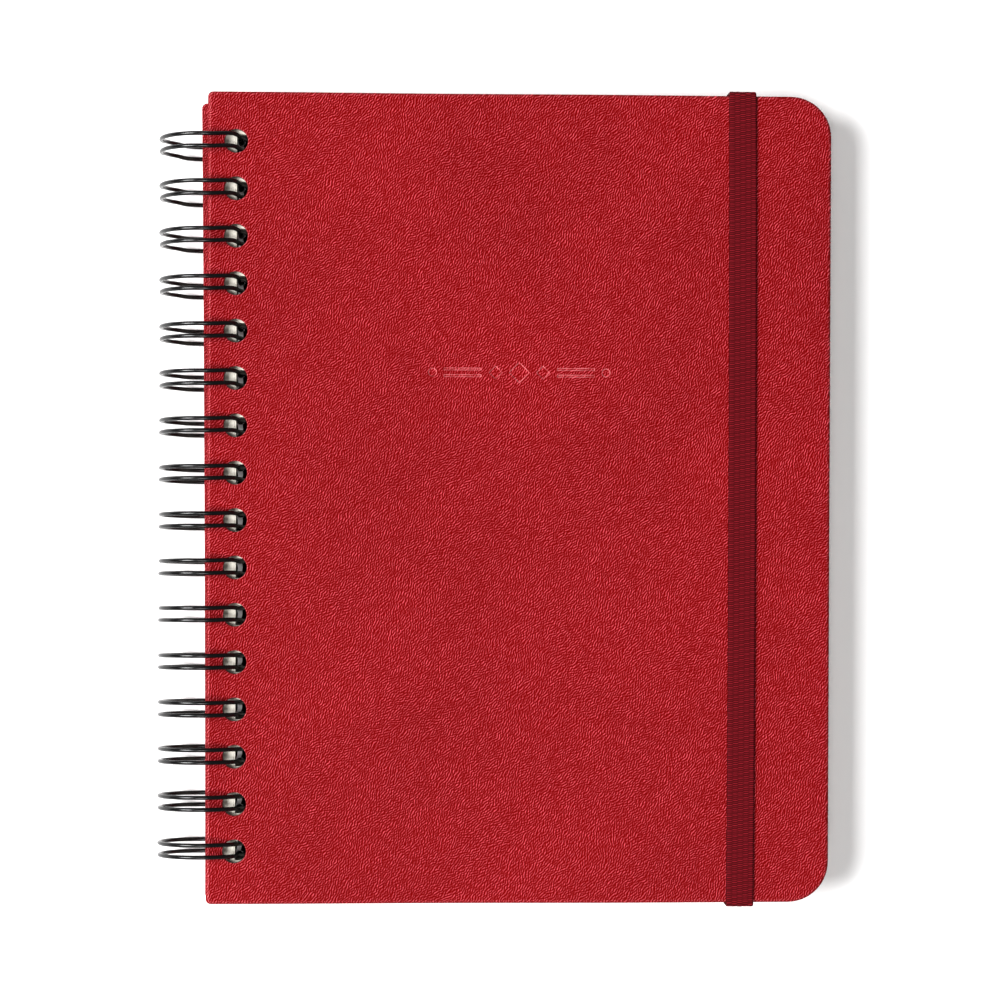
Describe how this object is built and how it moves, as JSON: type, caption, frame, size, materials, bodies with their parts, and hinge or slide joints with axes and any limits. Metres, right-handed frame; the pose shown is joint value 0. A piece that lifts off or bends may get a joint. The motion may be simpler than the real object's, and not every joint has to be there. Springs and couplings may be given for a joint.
{
  "type": "wire bound planner",
  "caption": "Hardcover planner with rounded fore-edge corners, twin-loop wire binding through round cover holes, page sections on the rings and a flat elastic closure strap.",
  "frame": {"origin": "centre of the bounding box in plan, at table level under the rings", "axes": "+X from the spine to the fore edge, +Y to the top edge, +Z out of the front cover"},
  "size_m": [0.1818, 0.2202, 0.024],
  "materials": {
    "black_wire": "nylon-coated steel wire, satin black",
    "cover_board": "solid grey bookbinding board, bare only in the punched holes and slots",
    "red_leatherette": "grained red leatherette, satin",
    "endpaper": "heavy uncoated cream paper, pasted down",
    "page_paper": "uncoated cream writing paper",
    "elastic": "ribbed woven elastic, matt dark red"
  },
  "bodies": {
    "back_cover": {"back_board": "cover_board", "back_cover_skin": "red_leatherette", "back_endpaper": "endpaper", "wire_binding": "black_wire"},
    "front_cover": {"front_board": "cover_board", "front_cover_skin": "red_leatherette", "front_endpaper": "endpaper"},
    "month_01": {"month_section_01": "page_paper"},
    "month_02": {"month_section_02": "page_paper"},
    "month_03": {"month_section_03": "page_paper"},
    "month_04": {"month_section_04": "page_paper"},
    "month_05": {"month_section_05": "page_paper"},
    "month_06": {"month_section_06": "page_paper"},
    "month_07": {"month_section_07": "page_paper"},
    "month_08": {"month_section_08": "page_paper"},
    "month_09": {"month_section_09": "page_paper"},
    "month_10": {"month_section_10": "page_paper"},
    "month_11": {"month_section_11": "page_paper"},
    "month_12": {"month_section_12": "page_paper"},
    "strap": {"elastic_strap": "elastic"}
  },
  "joints": [
    {"name": "front_cover_hinge", "type": "hinge", "parent": "back_cover", "child": "front_cover", "pos_m": [-0.07888, 0, 0.012], "axis": [0, -1, 0], "range_deg": [0, 180]},
    {"name": "month_01_hinge", "type": "hinge", "parent": "back_cover", "child": "month_01", "pos_m": [-0.07888, 0, 0.012], "axis": [0, -1, 0], "range_deg": [0, 180]},
    {"name": "month_02_hinge", "type": "hinge", "parent": "back_cover", "child": "month_02", "pos_m": [-0.07888, 0, 0.012], "axis": [0, -1, 0], "range_deg": [0, 180]},
    {"name": "month_03_hinge", "type": "hinge", "parent": "back_cover", "child": "month_03", "pos_m": [-0.07888, 0, 0.012], "axis": [0, -1, 0], "range_deg": [0, 180]},
    {"name": "month_04_hinge", "type": "hinge", "parent": "back_cover", "child": "month_04", "pos_m": [-0.07888, 0, 0.012], "axis": [0, -1, 0], "range_deg": [0, 180]},
    {"name": "month_05_hinge", "type": "hinge", "parent": "back_cover", "child": "month_05", "pos_m": [-0.07888, 0, 0.012], "axis": [0, -1, 0], "range_deg": [0, 180]},
    {"name": "month_06_hinge", "type": "hinge", "parent": "back_cover", "child": "month_06", "pos_m": [-0.07888, 0, 0.012], "axis": [0, -1, 0], "range_deg": [0, 180]},
    {"name": "month_07_hinge", "type": "hinge", "parent": "back_cover", "child": "month_07", "pos_m": [-0.07888, 0, 0.012], "axis": [0, -1, 0], "range_deg": [0, 180]},
    {"name": "month_08_hinge", "type": "hinge", "parent": "back_cover", "child": "month_08", "pos_m": [-0.07888, 0, 0.012], "axis": [0, -1, 0], "range_deg": [0, 180]},
    {"name": "month_09_hinge", "type": "hinge", "parent": "back_cover", "child": "month_09", "pos_m": [-0.07888, 0, 0.012], "axis": [0, -1, 0], "range_deg": [0, 180]},
    {"name": "month_10_hinge", "type": "hinge", "parent": "back_cover", "child": "month_10", "pos_m": [-0.07888, 0, 0.012], "axis": [0, -1, 0], "range_deg": [0, 180]},
    {"name": "month_11_hinge", "type": "hinge", "parent": "back_cover", "child": "month_11", "pos_m": [-0.07888, 0, 0.012], "axis": [0, -1, 0], "range_deg": [0, 180]},
    {"name": "month_12_hinge", "type": "hinge", "parent": "back_cover", "child": "month_12", "pos_m": [-0.07888, 0, 0.012], "axis": [0, -1, 0], "range_deg": [0, 180]},
    {"name": "strap_release", "type": "slide", "parent": "back_cover", "child": "strap", "axis": [0, 0, -1], "range_m": [0, 0.018], "deforming": ["elastic_strap"]}
  ],
  "couplings": [
    {"joint": "month_01_hinge", "follows": "front_cover_hinge", "ratio": 0.999},
    {"joint": "month_02_hinge", "follows": "front_cover_hinge", "ratio": 0.998},
    {"joint": "month_03_hinge", "follows": "front_cover_hinge", "ratio": 0.997},
    {"joint": "month_04_hinge", "follows": "front_cover_hinge", "ratio": 0.996},
    {"joint": "month_05_hinge", "follows": "front_cover_hinge", "ratio": 0.995},
    {"joint": "month_06_hinge", "follows": "front_cover_hinge", "ratio": 0.994},
    {"joint": "month_07_hinge", "follows": "front_cover_hinge", "ratio": 0.006},
    {"joint": "month_08_hinge", "follows": "front_cover_hinge", "ratio": 0.005},
    {"joint": "month_09_hinge", "follows": "front_cover_hinge", "ratio": 0.004},
    {"joint": "month_10_hinge", "follows": "front_cover_hinge", "ratio": 0.003},
    {"joint": "month_11_hinge", "follows": "front_cover_hinge", "ratio": 0.002},
    {"joint": "month_12_hinge", "follows": "front_cover_hinge", "ratio": 0.001},
    {"joint": "strap_release", "follows": "front_cover_hinge", "m_per_rad": 0.005729}
  ]
}
